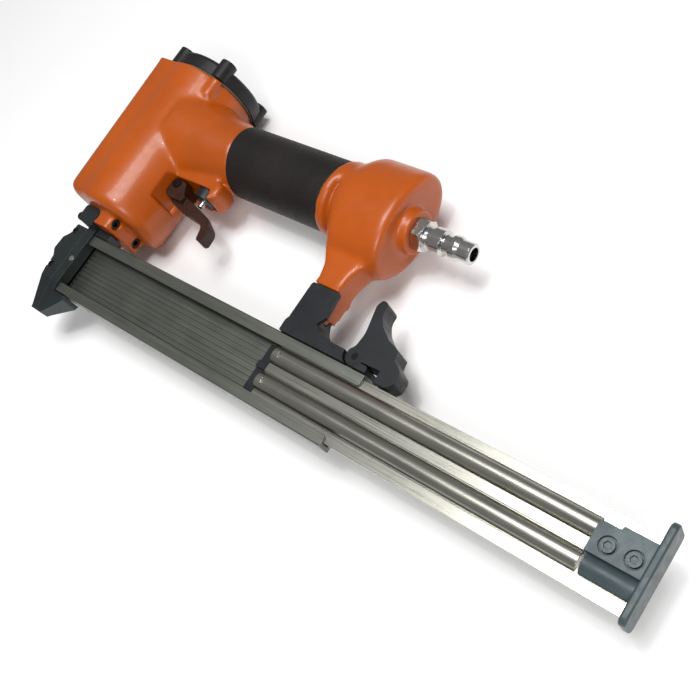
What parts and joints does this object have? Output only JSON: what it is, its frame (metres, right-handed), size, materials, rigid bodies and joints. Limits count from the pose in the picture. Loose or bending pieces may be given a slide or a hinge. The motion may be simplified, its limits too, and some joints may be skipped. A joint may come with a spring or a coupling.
{
  "type": "flooring nailer",
  "caption": "Compact pneumatic flooring and brad nailer with a round head, sleeved handle, bent trigger, air plug and a long side-loading magazine whose drawer slides out to the rear.",
  "frame": {"origin": "middle of the nose tip, on the drive axis and in the tool's middle plane", "axes": "+X along the magazine to the rear, +Y along the drive axis from the nose to the cap, +Z out of the magazine's open loading side"},
  "size_m": [0.3452, 0.1582, 0.0512],
  "materials": {
    "orange_paint": "gloss",
    "black_casting": "satin",
    "black_moulding": "satin",
    "grip_rubber": "matt",
    "gunmetal": "blackened, satin",
    "blackened_screw": "black oxide",
    "bright_steel": "polished",
    "chrome": "polished",
    "channel_aluminium": "anodised, satin",
    "drawer_aluminium": "satin",
    "slate_moulding": "satin",
    "trigger_brown": "satin",
    "seal_rubber": "matt",
    "bumper_urethane": "satin",
    "gasket_fibre": "matt"
  },
  "bodies": {
    "tool": {"housing": "orange_paint", "cylinder_cap": "black_casting", "cap_gasket": "gasket_fibre", "cap_screws": "blackened_screw", "cylinder": "channel_aluminium", "cylinder_seals": "seal_rubber", "bumper": "bumper_urethane", "head_valve_spring": "bright_steel", "trigger_pin": "blackened_screw", "valve_sleeve": "black_moulding", "valve_spring": "bright_steel", "grip_sleeve": "grip_rubber", "air_plug": "chrome", "nose_body": "gunmetal", "nose_plate": "gunmetal", "nose_screws": "blackened_screw", "neck_screws": "blackened_screw", "flange_screws": "blackened_screw", "guide_pin": "bright_steel", "magazine_channel": "channel_aluminium", "magazine_screws": "blackened_screw", "bracket": "black_moulding", "bracket_screw": "blackened_screw", "latch_pin": "blackened_screw", "latch_spring": "bright_steel"},
    "driver": {"piston": "drawer_aluminium", "piston_ring": "seal_rubber", "driver_blade": "bright_steel"},
    "head_valve_body": {"head_valve": "black_moulding"},
    "trigger_body": {"trigger": "trigger_brown"},
    "stem_body": {"valve_stem": "bright_steel"},
    "drawer": {"magazine_slide": "drawer_aluminium", "tube_pins": "chrome", "guide_rods": "bright_steel", "pusher_springs": "bright_steel", "end_cap": "slate_moulding", "end_cap_screws": "gunmetal"},
    "pusher_body": {"pusher": "black_moulding"},
    "latch_body": {"latch_lever": "black_moulding"}
  },
  "joints": [
    {"name": "drawer_slide", "type": "slide", "parent": "tool", "child": "drawer", "axis": [1, 0, 0], "range_m": [-0.132, 0]},
    {"name": "pusher_slide", "type": "slide", "parent": "drawer", "child": "pusher_body", "axis": [1, 0, 0], "range_m": [0, 0.115], "stiffness_N_per_m": 12, "springref_m": -0.12, "deforming": ["pusher_springs"]},
    {"name": "driver_stroke", "type": "slide", "parent": "tool", "child": "driver", "axis": [0, -1, 0], "range_m": [0, 0.047]},
    {"name": "head_valve_lift", "type": "slide", "parent": "tool", "child": "head_valve_body", "axis": [0, 1, 0], "range_m": [0, 0.003], "stiffness_N_per_m": 300, "springref_m": -0.006, "deforming": ["head_valve_spring"]},
    {"name": "trigger_pull", "type": "hinge", "parent": "tool", "child": "trigger_body", "pos_m": [0.033, 0.0915, 0], "axis": [0, 0, 1], "range_deg": [0, 8], "stiffness_Nm_per_rad": 0.3, "springref_deg": -17.19},
    {"name": "stem_lift", "type": "slide", "parent": "tool", "child": "stem_body", "axis": [0, 1, 0], "range_m": [0, 0.0028], "deforming": ["valve_spring"]},
    {"name": "latch_squeeze", "type": "hinge", "parent": "tool", "child": "latch_body", "pos_m": [0.181, 0.053, 0], "axis": [0, 0, 1], "range_deg": [0, 18], "stiffness_Nm_per_rad": 0.2, "springref_deg": -28.65}
  ],
  "couplings": [
    {"joint": "stem_lift", "follows": "trigger_pull", "m_per_rad": 0.017}
  ]
}
